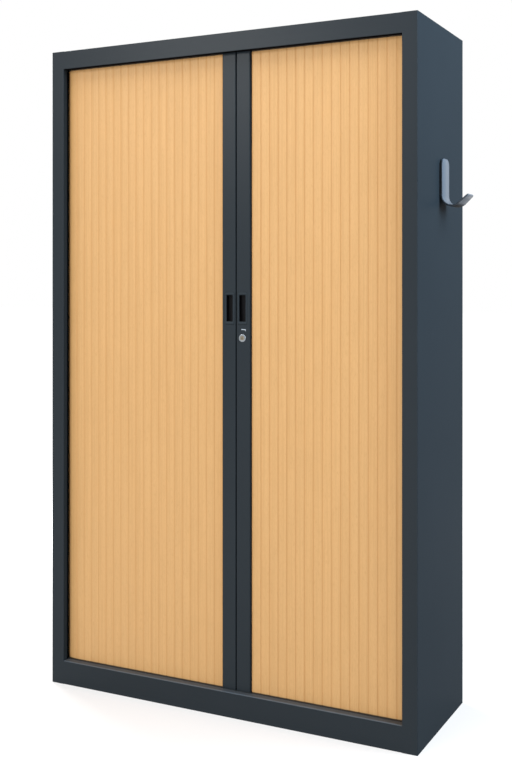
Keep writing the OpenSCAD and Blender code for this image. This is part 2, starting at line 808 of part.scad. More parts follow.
// Points round the hook's bend at radius r, from the plate to the tip
function hook_arc(r) = [for (k = [0:hook_steps]) let (a = 180 + hook_bend * k / hook_steps)
    [hook_cx + r * cos(a), hook_cz + r * sin(a)]];
// Side view of the strip: down the plate, round the bend and up the tip, then back on its inner side
function hook_strip() = let (
        along = hook_tip_l * [-sin(180 + hook_bend), cos(180 + hook_bend)],
        outer = hook_arc(hook_bend_r + hook_t),
        inner = hook_arc(hook_bend_r))
    concat([[hook_x, hook_top]], outer, [outer[hook_steps] + along, inner[hook_steps] + along],
        [for (k = [hook_steps:-1:0]) inner[k]], [[hook_x + hook_t, hook_top]]);

// What is cut from one edge of the tip so that it narrows to a bevelled end
module tip_cut() {
    y0 = hook_w / 2;
    y1 = hook_tip_w / 2;
    taper = hook_tip_l - hook_bevel - hook_t;
    polygon([[hook_t - taper, 2 * y0 - y1], [hook_tip_l - hook_bevel, y1], [hook_tip_l, y1 - hook_bevel],
        [2 * hook_tip_l, y1 - hook_bevel], [2 * hook_tip_l, 2 * y0 - y1]]);
}

// Coat hook bent from one strip: plate with round corners, round bend and rising tip
module coat_hook() {
    reach = 2 * (hook_bend_r + hook_t) + hook_tip_l;
    color(grey_steel) translate([0, hook_y, 0]) difference() {
        intersection() {
            rotate([90, 0, 0]) linear_extrude(2 * hook_w, center = true) polygon(hook_strip());
            translate([hook_x - hook_t, 0, 0]) rotate([90, 0, 90]) linear_extrude(reach + 2 * hook_t)
                hook_outline(hook_cz - 2 * hook_bend_r, 0);
        }
        translate([hook_cx, 0, hook_cz]) rotate([90, 0, 0]) rotate(180 + hook_bend)
            for (i = [0, 1]) mirror([0, 0, i]) translate([hook_bend_r - hook_t, 0, 0]) rotate([90, 0, 90])
                linear_extrude(3 * hook_t) tip_cut();
    }
}

// Magnet pad between the hook plate and the side panel
module hook_magnet() {
    color(black) translate([half_w, hook_y, 0]) rotate([90, 0, 90]) linear_extrude(magnet_t)
        hook_outline(hook_cz, magnet_inset);
}

// Hat-shaped brackets under the floor panel
module foot_brackets() {
    top_z = floor_z - sheet_t;
    half = bracket_w / 2;
    color(grey_steel) at_feet() difference() {
        union() {
            block([-half, -half, foot_web_z], [half, half, foot_web_z + bracket_t]);
            for (side = [-1, 1]) on_side(side) {
                block([half - bracket_t, -half, foot_web_z], [half, half, top_z]);
                block([half - bracket_t, -half, top_z - bracket_t], [half + flange_w / 2, half, top_z]);
            }
        }
        translate([0, 0, foot_web_z - bracket_t]) cylinder(r = stud_r + spin_gap, h = 3 * bracket_t);
    }
}

// Weld nuts on the brackets
module foot_nuts() {
    color(grey_steel) at_feet() translate([0, 0, foot_web_z + bracket_t]) difference() {
        cylinder(r = foot_nut_r, h = foot_nut_t, $fn = 6);
        translate([0, 0, -bracket_t]) cylinder(r = stud_r + spin_gap, h = foot_nut_t + 2 * bracket_t);
    }
}

// Levelling foot: pad, stud and a hexagon socket that is turned from above
module foot(x, y) {
    color(black) translate([x * (half_w - foot_inset), y * (half_d - foot_inset), 0]) difference() {
        union() {
            cylinder(r = foot_pad_r, h = foot_pad_t / 2);
            translate([0, 0, foot_pad_t / 2])
                cylinder(r1 = foot_pad_r, r2 = foot_collar_r, h = foot_pad_t / 2);
            cylinder(r = stud_r, h = stud_h);
        }
        translate([0, 0, stud_h - hex_d]) cylinder(r = hex_r, h = 2 * hex_d, $fn = 6);
    }
}

side_panel(-1);  // left_side_panel
side_panel(1);  // right_side_panel
top_panel();
ceiling_panel();
plinth();
floor_panel();
back_panel(-1);  // left_back_panel
back_panel(1);  // right_back_panel
side_liner(-1);  // left_liner
side_liner(1);  // right_liner
shelf_rails(-1);  // left_shelf_rails
shelf_rails(1);  // right_shelf_rails
shelf(1);  // shelf_1
shelf(2);  // shelf_2
shelf(3);  // shelf_3
shelf(4);  // shelf_4
shelf_clips();
upper_track(-1);  // upper_left_track
upper_track(1);  // upper_right_track
lower_track(-1);  // lower_left_track
lower_track(1);  // lower_right_track
curtain(-1);  // left_curtain
curtain(1);  // right_curtain
left_stile();
right_stile();
stile_glides(-1);  // left_stile_glides
stile_glides(1);  // right_stile_glides
grip_cup(-1);  // left_grip_cup
grip_cup(1);  // right_grip_cup
lock_keeper();
lock_body();
lock_nut();
lock_plug();
lock_cam();
lock_cam_screw();
coat_hook();
hook_magnet();
foot_brackets();
foot_nuts();
foot(-1, -1);  // front_left_foot
foot(1, -1);  // front_right_foot
foot(-1, 1);  // rear_left_foot
foot(1, 1);  // rear_right_foot
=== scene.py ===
"""Dress the tambour cabinet: curtains, grips, lock ring, coat hook and a finish for every surface."""

import json
import logging
import math
from dataclasses import dataclass
from enum import Enum
from typing import Sequence

import bpy
import numpy as np
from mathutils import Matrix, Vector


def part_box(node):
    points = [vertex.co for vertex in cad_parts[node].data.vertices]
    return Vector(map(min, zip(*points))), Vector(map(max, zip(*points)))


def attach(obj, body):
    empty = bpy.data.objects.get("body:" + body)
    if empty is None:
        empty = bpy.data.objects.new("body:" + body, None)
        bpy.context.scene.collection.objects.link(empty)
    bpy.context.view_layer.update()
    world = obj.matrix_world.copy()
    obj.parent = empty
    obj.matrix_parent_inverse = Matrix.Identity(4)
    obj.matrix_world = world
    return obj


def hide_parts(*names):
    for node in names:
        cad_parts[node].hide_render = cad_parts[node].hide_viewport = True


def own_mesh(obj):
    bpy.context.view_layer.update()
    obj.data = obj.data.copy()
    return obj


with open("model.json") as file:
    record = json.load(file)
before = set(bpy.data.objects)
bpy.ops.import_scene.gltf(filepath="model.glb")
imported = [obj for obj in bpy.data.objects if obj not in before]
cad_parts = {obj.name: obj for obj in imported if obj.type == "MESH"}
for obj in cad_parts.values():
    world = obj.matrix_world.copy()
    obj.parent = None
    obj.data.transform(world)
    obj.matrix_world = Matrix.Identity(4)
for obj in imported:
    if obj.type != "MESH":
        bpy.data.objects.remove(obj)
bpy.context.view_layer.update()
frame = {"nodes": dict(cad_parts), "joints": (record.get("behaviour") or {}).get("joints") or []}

Colour = tuple[float, float, float]
Point = tuple[float, float, float]
Pair = tuple[float, float]

LOG = logging.getLogger("cabinet")
MM = 0.001
SHARP_DEG = 35.0  # An edge that bends more than this stays sharp
FACING: Pair = (0.5, 0.95)  # A normal's part along an axis, from leaning that way to facing it
TURNED: Point = (500.0, 40.0, 500.0)  # Stretch of the lines on a part turned about Y
ANTHRACITE: Colour = (0.0220, 0.0292, 0.0360)


class Side(Enum):
    """Half of the cabinet, as the sign of X."""

    LEFT = -1
    RIGHT = 1

    @property
    def word(self) -> str:
        """The side's name as it stands in node names."""
        return self.name.lower()


class Body(str, Enum):
    """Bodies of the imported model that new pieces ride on."""

    CARCASS = "carcass"
    LEFT_DOOR = "left_door"
    RIGHT_DOOR = "right_door"


# Meshes


def ring_faces(rings: int, sides: int, capped: bool = True, looped: bool = False) -> list[tuple[int, ...]]:
    """Faces of closed rings that follow each other along a path.

    Args:
        rings: Number of rings along the path.
        sides: Number of points round a ring.
        capped: Whether the first and last ring are filled.
        looped: Whether the last ring joins the first.

    Returns:
        Quads between neighbouring rings, then the two end faces.
    """
    steps = rings if looped else rings - 1
    i, j = np.meshgrid(np.arange(steps), np.arange(sides), indexing="ij")
    after, beside = (i + 1) % rings, (j + 1) % sides
    quads = np.stack([i * sides + j, i * sides + beside, after * sides + beside, after * sides + j], -1)
    faces = [tuple(q) for q in quads.reshape(-1, 4).tolist()]
    if capped:
        faces += [tuple(range(sides - 1, -1, -1)), tuple(range((rings - 1) * sides, rings * sides))]
    return faces


def new_piece(name: str, points: np.ndarray, faces: Sequence[tuple[int, ...]], finish: bpy.types.Material,
              flip: bool = False) -> bpy.types.Object:
    """Put points and faces into a new object at the origin, dress it and report it.

    Args:
        name: Name of the piece.
        points: Corners in metres, in the part's frame; the last axis is X, Y, Z.
        faces: Corner numbers of each face.
        finish: The piece's material.
        flip: Whether the faces wind the other way round.

    Returns:
        The linked object.
    """
    mesh = bpy.data.meshes.new(name)
    mesh.from_pydata(points.reshape(-1, 3).tolist(), [], [f[::-1] for f in faces] if flip else faces)
    mesh.polygons.foreach_set("use_smooth", np.ones(len(mesh.polygons), bool))
    mesh.set_sharp_from_angle(angle=math.radians(SHARP_DEG))
    mesh.validate()
    mesh.materials.append(finish)
    piece = bpy.data.objects.new(name, mesh)
    bpy.context.scene.collection.objects.link(piece)
    LOG.info("%s: %d faces in %s", name, len(mesh.polygons), finish.name)
    return piece


def point_values(piece: bpy.types.Object, name: str, values: np.ndarray) -> None:
    """Store one number per mesh point under a name that materials read."""
    attribute = piece.data.attributes.new(name, "FLOAT", "POINT")
    attribute.data.foreach_set("value", values.astype(np.float32).ravel())


def arc(centre: Pair, radius: float, start_deg: float, end_deg: float, count: int) -> np.ndarray:
    """Points on a circle: centre + radius * (cos a, sin a), with a running evenly from start to end."""
    a = np.radians(np.linspace(start_deg, end_deg, count))
    return np.stack([centre[0] + radius * np.cos(a), centre[1] + radius * np.sin(a)], -1)


def rounded_rectangle(half_w: float, half_h: float, radius: float, per_corner: int = 8) -> np.ndarray:
    """Outline of a rectangle whose four corners are quarter circles, anticlockwise.

    Args:
        half_w: Half of the width.
        half_h: Half of the height.
        radius: Corner radius.
        per_corner: Points on each quarter circle.

    Returns:
        Array of 4 * per_corner points in the plane.
    """
    x, y = half_w - radius, half_h - radius
    centres = ((x, y), (-x, y), (-x, -y), (x, -y))
    return np.concatenate([arc(c, radius, 90 * k, 90 * k + 90, per_corner) for k, c in enumerate(centres)])


# Shader node trees


class Tree:
    """A node tree that short calls fill."""

    def __init__(self, tree: bpy.types.NodeTree) -> None:
        """Keep the tree to fill."""
        self.tree = tree

    def put(self, socket: bpy.types.NodeSocket, value: object) -> None:
        """Link a socket to an input, or set the input's own value.

        Args:
            socket: The input.
            value: Another node's output, a number, or a colour or vector.
        """
        if isinstance(value, bpy.types.NodeSocket):
            self.tree.links.new(value, socket)
        elif isinstance(value, tuple) and socket.type == "RGBA":
            socket.default_value = (*value, 1.0)
        else:
            socket.default_value = value

    def node(self, kind: str, inputs: dict[str | int, object] | None = None,
             **settings: object) -> bpy.types.Node:
        """Add a node.

        Args:
            kind: Blender's name of the node type.
            inputs: Input names or numbers with what goes into them.
            **settings: Properties of the node.

        Returns:
            The new node.
        """
        node = self.tree.nodes.new(kind)
        for key, value in settings.items():
            setattr(node, key, value)
        return self.fill(node, inputs or {})

    def fill(self, node: bpy.types.Node, inputs: dict[str | int, object]) -> bpy.types.Node:
        """Link or set a node's inputs.

        Args:
            node: The node.
            inputs: Input names or numbers with what goes into them.

        Returns:
            The same node.
        """
        for key, value in inputs.items():
            self.put(node.inputs[key], value)
        return node

    def math(self, operation: str, a: object, b: object = 0.0, c: object = 0.0) -> bpy.types.NodeSocket:
        """Result of a Math node on up to three values."""
        return self.node("ShaderNodeMath", {0: a, 1: b, 2: c}, operation=operation).outputs[0]

    def mix(self, share: object, a: object, b: object) -> bpy.types.NodeSocket:
        """Colour a at share 0, colour b at share 1, by the Mix node's sockets for colours."""
        return self.node("ShaderNodeMix", {0: share, 6: a, 7: b}, data_type="RGBA").outputs[2]

    def scaled(self, colour: object, factor: object) -> bpy.types.NodeSocket:
        """A colour times a number."""
        return self.node("ShaderNodeVectorMath", {0: colour, "Scale": factor}, operation="SCALE").outputs[0]

    def noise(self, vector: object, scale: object, detail: float,
              roughness: float = 0.5) -> bpy.types.NodeSocket:
        """Value of a noise texture, around 0.5."""
        inputs = {"Vector": vector, "Scale": scale, "Detail": detail, "Roughness": roughness}
        return self.node("ShaderNodeTexNoise", inputs).outputs["Fac"]

    def band(self, value: object, low: float, high: float) -> bpy.types.NodeSocket:
        """0 at low and before it, 1 at high and beyond it, with a smooth step between."""
        inputs = {"Value": value, "From Min": low, "From Max": high, "To Min": 0.0, "To Max": 1.0}
        return self.node("ShaderNodeMapRange", inputs, interpolation_type="SMOOTHSTEP").outputs["Result"]

    def part(self, vector: object, axis: str) -> bpy.types.NodeSocket:
        """A vector's part along X, Y or Z."""
        return self.node("ShaderNodeSeparateXYZ", {0: vector}).outputs[axis]

    def object_point(self) -> bpy.types.NodeSocket:
        """The shaded point in the object's own coordinates."""
        return self.node("ShaderNodeTexCoord").outputs["Object"]


class Effect(Enum):
    """Surface effects that several finishes share, each a node group."""

    MOTTLE = "mottle"
    PEEL = "orange_peel"
    STREAKS = "streaks"
    DUST = "dust"

    def tree(self) -> bpy.types.NodeTree:
        """Build the group's node tree, the first time that it is asked for.

        Returns:
            The tree, which all finishes share.
        """
        found = bpy.data.node_groups.get(self.value)
        if found:
            return found
        group = bpy.data.node_groups.new(self.value, "ShaderNodeTree")
        fill = {Effect.MOTTLE: fill_mottle, Effect.PEEL: fill_peel, Effect.STREAKS: fill_streaks,
                Effect.DUST: fill_dust}
        fill[self](group)
        return group

    def place(self, tree: Tree, inputs: dict[str, object]) -> bpy.types.Node:
        """The group put into a material as a node, with values for its named inputs."""
        return tree.fill(tree.node("ShaderNodeGroup", node_tree=self.tree()), inputs)


def group_ends(group: bpy.types.NodeTree, inputs: dict[str, str],
               outputs: dict[str, str]) -> tuple[Tree, bpy.types.Node, bpy.types.Node]:
    """Give a node group its sockets.

    Args:
        group: The empty group.
        inputs: Socket type for each input's name.
        outputs: Socket type for each output's name.

    Returns:
        The tree to fill, its input node and its output node.
    """
    for in_out, sockets in (("INPUT", inputs), ("OUTPUT", outputs)):
        for name, kind in sockets.items():
            group.interface.new_socket(name, in_out=in_out, socket_type="NodeSocket" + kind)
    tree = Tree(group)
    return tree, tree.node("NodeGroupInput"), tree.node("NodeGroupOutput")


def fill_mottle(group: bpy.types.NodeTree) -> None:
    """Colour times 1 + amount * (2 * noise - 1), so that it wavers evenly about the colour.

    Args:
        group: The empty group.
    """
    wants = {"Vector": "Vector", "Colour": "Color", "Scale": "Float", "Amount": "Float"}
    tree, given, result = group_ends(group, wants, {"Colour": "Color", "Value": "Float"})
    value = tree.noise(given.outputs["Vector"], given.outputs["Scale"], detail=3.0)
    wave = tree.math("MULTIPLY_ADD", value, 2.0, -1.0)
    factor = tree.math("MULTIPLY_ADD", wave, given.outputs["Amount"], 1.0)
    tree.fill(result, {"Colour": tree.scaled(given.outputs["Colour"], factor), "Value": value})


def fill_peel(group: bpy.types.NodeTree, finer: float = 3.3, share: float = 0.35) -> None:
    """Height of a sprayed or moulded skin: soft bumps plus finer ones of a share of their height.

    Args:
        group: The empty group.
        finer: How many times finer the second bumps are.
        share: Their share of the height.
    """
    tree, given, result = group_ends(group, {"Vector": "Vector", "Scale": "Float"}, {"Height": "Float"})
    soft = tree.noise(given.outputs["Vector"], given.outputs["Scale"], detail=1.0)
    fine_scale = tree.math("MULTIPLY", given.outputs["Scale"], finer)
    fine = tree.noise(given.outputs["Vector"], fine_scale, detail=1.0)
    tree.put(result.inputs["Height"], tree.math("MULTIPLY_ADD", fine, share, soft))


def fill_streaks(group: bpy.types.NodeTree) -> None:
    """Noise on stretched coordinates, so that it runs in long lines along the short stretch.

    Args:
        group: The empty group.
    """
    wants = {"Vector": "Vector", "Stretch": "Vector"}
    tree, given, result = group_ends(group, wants, {"Value": "Float"})
    inputs = {0: given.outputs["Vector"], 1: given.outputs["Stretch"]}
    stretched = tree.node("ShaderNodeVectorMath", inputs, operation="MULTIPLY").outputs[0]
    tree.put(result.inputs["Value"], tree.noise(stretched, scale=1.0, detail=4.0, roughness=0.6))


def fill_dust(group: bpy.types.NodeTree, upright: Pair = (0.35, 0.95), patch_scale: float = 26.0,
              patch_share: float = 0.6, even_share: float = 0.7) -> None:
    """Pale dust on what faces up: more the more the normal points along Z, and in soft patches.

    Args:
        group: The empty group.
        upright: The normal's part along Z at which dust starts to lie, and at which it lies in full.
        patch_scale: Scale of the noise that makes the patches.
        patch_share: How much of the cover goes with that noise.
        even_share: How much of the cover lies everywhere.
    """
    wants = {"Vector": "Vector", "Normal": "Vector", "Colour": "Color", "Dust": "Color", "Amount": "Float"}
    tree, given, result = group_ends(group, wants, {"Colour": "Color"})
    patches = tree.noise(given.outputs["Vector"], patch_scale, detail=4.0)
    patchy = tree.math("MULTIPLY_ADD", patches, patch_share, even_share)
    up = tree.band(tree.part(given.outputs["Normal"], "Z"), *upright)
    cover = tree.math("MULTIPLY", up, given.outputs["Amount"])
    mask = tree.math("MINIMUM", tree.math("MULTIPLY", cover, patchy), 1.0)
    tree.put(result.inputs["Colour"], tree.mix(mask, given.outputs["Colour"], given.outputs["Dust"]))


def new_material(name: str) -> tuple[bpy.types.Material, Tree, bpy.types.Node]:
    """Start a material with an empty Principled shader.

    Args:
        name: The material's name.

    Returns:
        The material, its node tree and its Principled node.
    """
    material = bpy.data.materials.new(name)
    material.use_nodes = True
    return material, Tree(material.node_tree), material.node_tree.nodes["Principled BSDF"]


def bump(tree: Tree, shader: bpy.types.Node, height: object, depth: float, strength: float) -> None:
    """Let a height from 0 to about 1, at which it is depth metres, shape the shader's normal."""
    inputs = {"Height": height, "Distance": depth, "Strength": strength}
    tree.put(shader.inputs["Normal"], tree.node("ShaderNodeBump", inputs).outputs["Normal"])


def mottled(tree: Tree, point: object, colour: object, scale: float, amount: float) -> bpy.types.Node:
    """The mottle effect on a colour, as a node that puts out Colour and Value."""
    return Effect.MOTTLE.place(tree, {"Vector": point, "Colour": colour, "Scale": scale, "Amount": amount})


# Finishes: a spread is how much the roughness varies, a relief the strength of the bump


@dataclass(frozen=True)
class PowderCoat:
    """Satin paint baked onto steel sheet: orange peel, slight clouds, dust on top, painted shade and dull
    below.

    Its sheen is a coat, which the faces to either side lack: what stands beside them rubs them dull.
    On a strip, the cut edges to the front and back get painted shade. A painted shadow line runs along
    an upright seam. A ledge gets a painted highlight along its front edge.
    """

    name: str
    colour: Colour
    roughness: float = 0.34
    spread: float = 0.12
    cloud: float = 0.06
    cloud_scale: float = 4.0
    speck: float = 0.10
    speck_scale: float = 900.0
    peel_scale: float = 420.0
    peel_depth: float = 0.06 * MM
    relief: float = 0.5
    specular: float = 0.004
    coat: float = 0.3
    dust: float = 0.04
    dust_colour: Colour = (0.30, 0.31, 0.33)
    # Colour of the painted shade: on faces turned down, on a strip's front and back edges, along a seam
    bare_colour: Colour = (0.006, 0.006, 0.007)
    # Share of painted shade on a strip's cut edges that face front and back
    edge_wear: float = 0.0
    edge_facing: Pair = (0.4, 0.8)
    # X of an upright seam, along which a painted shadow line runs
    seam_x: float | None = None
    seam_half: float = 1.6 * MM
    # Y of a ledge's front edge, along which a painted highlight runs
    rub_y: float | None = None
    rub_w: float = 9.0 * MM
    rub_colour: Colour = (0.105, 0.128, 0.155)

    def material(self) -> bpy.types.Material:
        """Build the finish.

        Returns:
            The material.
        """
        material, tree, shader = new_material(self.name)
        point = tree.object_point()
        cloud = mottled(tree, point, self.colour, self.cloud_scale, self.cloud)
        speck = mottled(tree, point, cloud.outputs["Colour"], self.speck_scale, self.speck)
        peel = Effect.PEEL.place(tree, {"Vector": point, "Scale": self.peel_scale})
        normal = tree.node("ShaderNodeNewGeometry").outputs["Normal"]
        settled = {"Vector": point, "Normal": normal, "Colour": speck.outputs["Colour"],
                   "Dust": self.dust_colour, "Amount": self.dust}
        colour = Effect.DUST.place(tree, settled).outputs["Colour"]
        facing = tree.node("ShaderNodeSeparateXYZ", {0: normal}).outputs
        # Painted shade on faces turned down; these also turn rough and lose the coat
        shade_below = tree.band(facing["Z"], -FACING[0], -FACING[1])
        dull = tree.math("MAXIMUM", shade_below, tree.band(tree.math("ABSOLUTE", facing["X"]), *FACING))
        # Painted shade on a strip's edges that face front and back
        if self.edge_wear:
            edge = tree.band(tree.math("ABSOLUTE", facing["Y"]), *self.edge_facing)
            colour = tree.mix(tree.math("MULTIPLY", edge, self.edge_wear), colour, self.bare_colour)
        # Painted shadow line along the upright seam between panels; it also loses its sheen
        if self.seam_x is not None:
            off = tree.math("ABSOLUTE", tree.math("SUBTRACT", tree.part(point, "X"), self.seam_x))
            seam_shade = tree.band(off, self.seam_half, self.seam_half / 2)
            colour = tree.mix(seam_shade, colour, self.bare_colour)
            dull = tree.math("MAXIMUM", dull, seam_shade)
        # Painted highlight along the ledge's front edge, on faces turned up
        if self.rub_y is not None:
            front = tree.band(tree.part(point, "Y"), self.rub_y + self.rub_w, self.rub_y + self.rub_w / 2)
            painted_highlight = tree.math("MULTIPLY", front, tree.band(facing["Z"], *FACING))
            colour = tree.mix(painted_highlight, colour, self.rub_colour)
        least = self.roughness - self.spread / 2
        rough = tree.math("MULTIPLY_ADD", speck.outputs["Value"], self.spread, least)
        tree.fill(shader, {"Base Color": tree.mix(shade_below, colour, self.bare_colour),
                           "Roughness": tree.math("MAXIMUM", rough, shade_below),
                           "Specular IOR Level": self.specular})
        if self.coat:
            sheen = tree.math("MULTIPLY_ADD", dull, -self.coat, self.coat)
            tree.fill(shader, {"Coat Weight": sheen, "Coat Roughness": self.roughness})
        bump(tree, shader, peel.outputs["Height"], self.peel_depth, self.relief)
        return material


@dataclass(frozen=True)
class BeechFilm:
    """Printed beech film on the slats: long grain lines, short flecks and painted shade along the seams.

    The tone differs a little from slat to slat; painted shade lies at the foot and head, in the tracks.
    """

    name: str
    colour: Colour
    grain_colour: Colour
    seam_colour: Colour
    foot_z: float
    head_z: float
    # How far the painted shade reaches at the foot and head, and over what it fades
    foot_h: float = 4.0 * MM
    head_h: float = 6.5 * MM
    fade: float = 2.5 * MM
    grime_colour: Colour = (0.06, 0.042, 0.028)
    slat_shift: float = 7.0
    tone: float = 0.02
    line_stretch: Point = (420.0, 420.0, 3.0)
    line_band: Pair = (0.42, 0.72)
    fleck_stretch: Point = (480.0, 480.0, 70.0)
    fleck_band: Pair = (0.5, 0.68)
    fleck_share: float = 0.9
    fleck_height: float = 0.5
    cloud: float = 0.04
    cloud_scale: float = 14.0
    # Painted shade along the seams: where it starts and ends across a slat, and its share
    near_seam: Pair = (0.07, 0.02)
    far_seam: Pair = (0.90, 0.945)
    seam_share: float = 0.38
    roughness: float = 0.42
    spread: float = 0.16
    grain_depth: float = 0.05 * MM
    relief: float = 0.4

    def material(self) -> bpy.types.Material:
        """Build the finish.

        Returns:
            The material.
        """
        material, tree, shader = new_material(self.name)
        slat = tree.node("ShaderNodeAttribute", attribute_name="slat").outputs["Fac"]
        across = tree.node("ShaderNodeAttribute", attribute_name="across").outputs["Fac"]
        place = tree.object_point()
        shift = tree.node("ShaderNodeCombineXYZ", {"Z": tree.math("MULTIPLY", slat, self.slat_shift)})
        point = tree.node("ShaderNodeVectorMath", {0: place, 1: shift.outputs[0]}).outputs[0]
        lines, flecks = (Effect.STREAKS.place(tree, {"Vector": point, "Stretch": stretch}).outputs["Value"]
                         for stretch in (self.line_stretch, self.fleck_stretch))
        grained = tree.mix(tree.band(lines, *self.line_band), self.colour, self.grain_colour)
        fleck = tree.math("MULTIPLY", tree.band(flecks, *self.fleck_band), self.fleck_share)
        flecked = tree.mix(fleck, grained, self.grain_colour)
        toned = tree.scaled(flecked, tree.math("MULTIPLY_ADD", slat, self.tone, 1 - self.tone / 2))
        cloud = mottled(tree, point, toned, self.cloud_scale, self.cloud)
        # Painted shade along the slat edges at the seams
        edge = tree.math("MAXIMUM", tree.band(across, *self.near_seam), tree.band(across, *self.far_seam))
        seam_shade = tree.math("MULTIPLY", edge, self.seam_share)
        colour = tree.mix(seam_shade, cloud.outputs["Colour"], self.seam_colour)
        # Painted shade where the slats run into the tracks, at the foot and the head
        height = tree.part(place, "Z")
        foot, head = self.foot_z + self.foot_h, self.head_z - self.head_h
        slot_shade = tree.math("MAXIMUM", tree.band(height, foot, foot - self.fade),
                          tree.band(height, head, head + self.fade))
        tree.fill(shader, {"Base Color": tree.mix(slot_shade, colour, self.grime_colour),
                           "Roughness": tree.math("MULTIPLY_ADD", lines, self.spread, self.roughness)})
        relief = tree.math("MULTIPLY_ADD", flecks, self.fleck_height, lines)
        bump(tree, shader, relief, self.grain_depth, self.relief)
        return material


@dataclass(frozen=True)
class MouldedPlastic:
    """Moulded plastic, rubber or printed ink with a fine grain."""

    name: str
    colour: Colour
    roughness: float = 0.5
    grain: float = 1100.0
    speck: float = 0.12
    spread: float = 0.15
    specular: float = 0.5
    grain_depth: float = 0.05 * MM
    relief: float = 0.6

    def tint(self, tree: Tree) -> object:
        """The colour under the grain."""
        return self.colour

    def material(self) -> bpy.types.Material:
        """Build the finish.

        Returns:
            The material.
        """
        material, tree, shader = new_material(self.name)
        point = tree.object_point()
        speck = mottled(tree, point, self.tint(tree), self.grain, self.speck)
        peel = Effect.PEEL.place(tree, {"Vector": point, "Scale": self.grain})
        rough = tree.math("MULTIPLY_ADD", speck.outputs["Value"], self.spread, self.roughness)
        tree.fill(shader, {"Base Color": speck.outputs["Colour"], "Roughness": rough,
                           "Specular IOR Level": self.specular})
        bump(tree, shader, peel.outputs["Height"], self.grain_depth, self.relief)
        return material


@dataclass(frozen=True, kw_only=True)
class RecessedPlastic(MouldedPlastic):
    """Grip moulding: like the stile on its rim; painted shade dark in the crease, black in the recess."""

    crease: Colour
    inside: Colour
    rim_y: float
    foot_y: float
    floor_y: float
    roughness: float = 0.4
    grain: float = 1300.0
    speck: float = 0.10
    spread: float = 0.12
    specular: float = 0.12
    grain_depth: float = 0.04 * MM

    def tint(self, tree: Tree) -> object:
        """The colour under the grain, with painted shade that darkens with the depth in Y.

        Args:
            tree: The material's node tree.

        Returns:
            The output that carries the colour.
        """
        depth = tree.part(tree.object_point(), "Y")
        # Painted shade: darker in the crease round the bezel, black down the recess
        bezel = tree.mix(tree.band(depth, self.rim_y, self.foot_y), self.colour, self.crease)
        return tree.mix(tree.band(depth, self.foot_y, self.floor_y), bezel, self.inside)


@dataclass(frozen=True)
class BareMetal:
    """Plated or polished metal with fine drawing lines."""

    name: str
    colour: Colour
    roughness: float
    stretch: Point
    spread: float = 0.18
    cloud: float = 0.08
    cloud_scale: float = 60.0
    scratch_depth: float = 0.02 * MM
    relief: float = 0.5

    def material(self) -> bpy.types.Material:
        """Build the finish.

        Returns:
            The material.
        """
        material, tree, shader = new_material(self.name)
        point = tree.object_point()
        lines = Effect.STREAKS.place(tree, {"Vector": point, "Stretch": self.stretch}).outputs["Value"]
        cloud = mottled(tree, point, self.colour, self.cloud_scale, self.cloud)
        rough = tree.math("MULTIPLY_ADD", lines, self.spread, self.roughness - self.spread / 2)
        tree.fill(shader, {"Base Color": cloud.outputs["Colour"], "Roughness": rough, "Metallic": 1.0})
        bump(tree, shader, lines, self.scratch_depth, self.relief)
        return material


@dataclass(frozen=True)
class FootFinish:
    """A levelling foot: a black plastic pad with a plated stud above it."""

    name: str
    pad: Colour
    stud: Colour
    stud_z: float
    roughness: float = 0.35
    spread: float = 0.2
    speck: float = 0.12
    speck_scale: float = 700.0
    thread_stretch: Point = (40.0, 40.0, 700.0)
    thread_depth: float = 0.1 * MM
    relief: float = 0.5

    def material(self) -> bpy.types.Material:
        """Build the finish.

        Returns:
            The material.
        """
        material, tree, shader = new_material(self.name)
        point = tree.object_point()
        metal = tree.math("GREATER_THAN", tree.part(point, "Z"), self.stud_z)
        colour = tree.mix(metal, self.pad, self.stud)
        speck = mottled(tree, point, colour, self.speck_scale, self.speck)
        turns = Effect.STREAKS.place(tree, {"Vector": point, "Stretch": self.thread_stretch})
        thread = turns.outputs["Value"]
        rough = tree.math("MULTIPLY_ADD", thread, self.spread, self.roughness)
        tree.fill(shader, {"Base Color": speck.outputs["Colour"], "Roughness": rough, "Metallic": metal})
        bump(tree, shader, thread, self.thread_depth, self.relief)
        return material


# Sub-assemblies


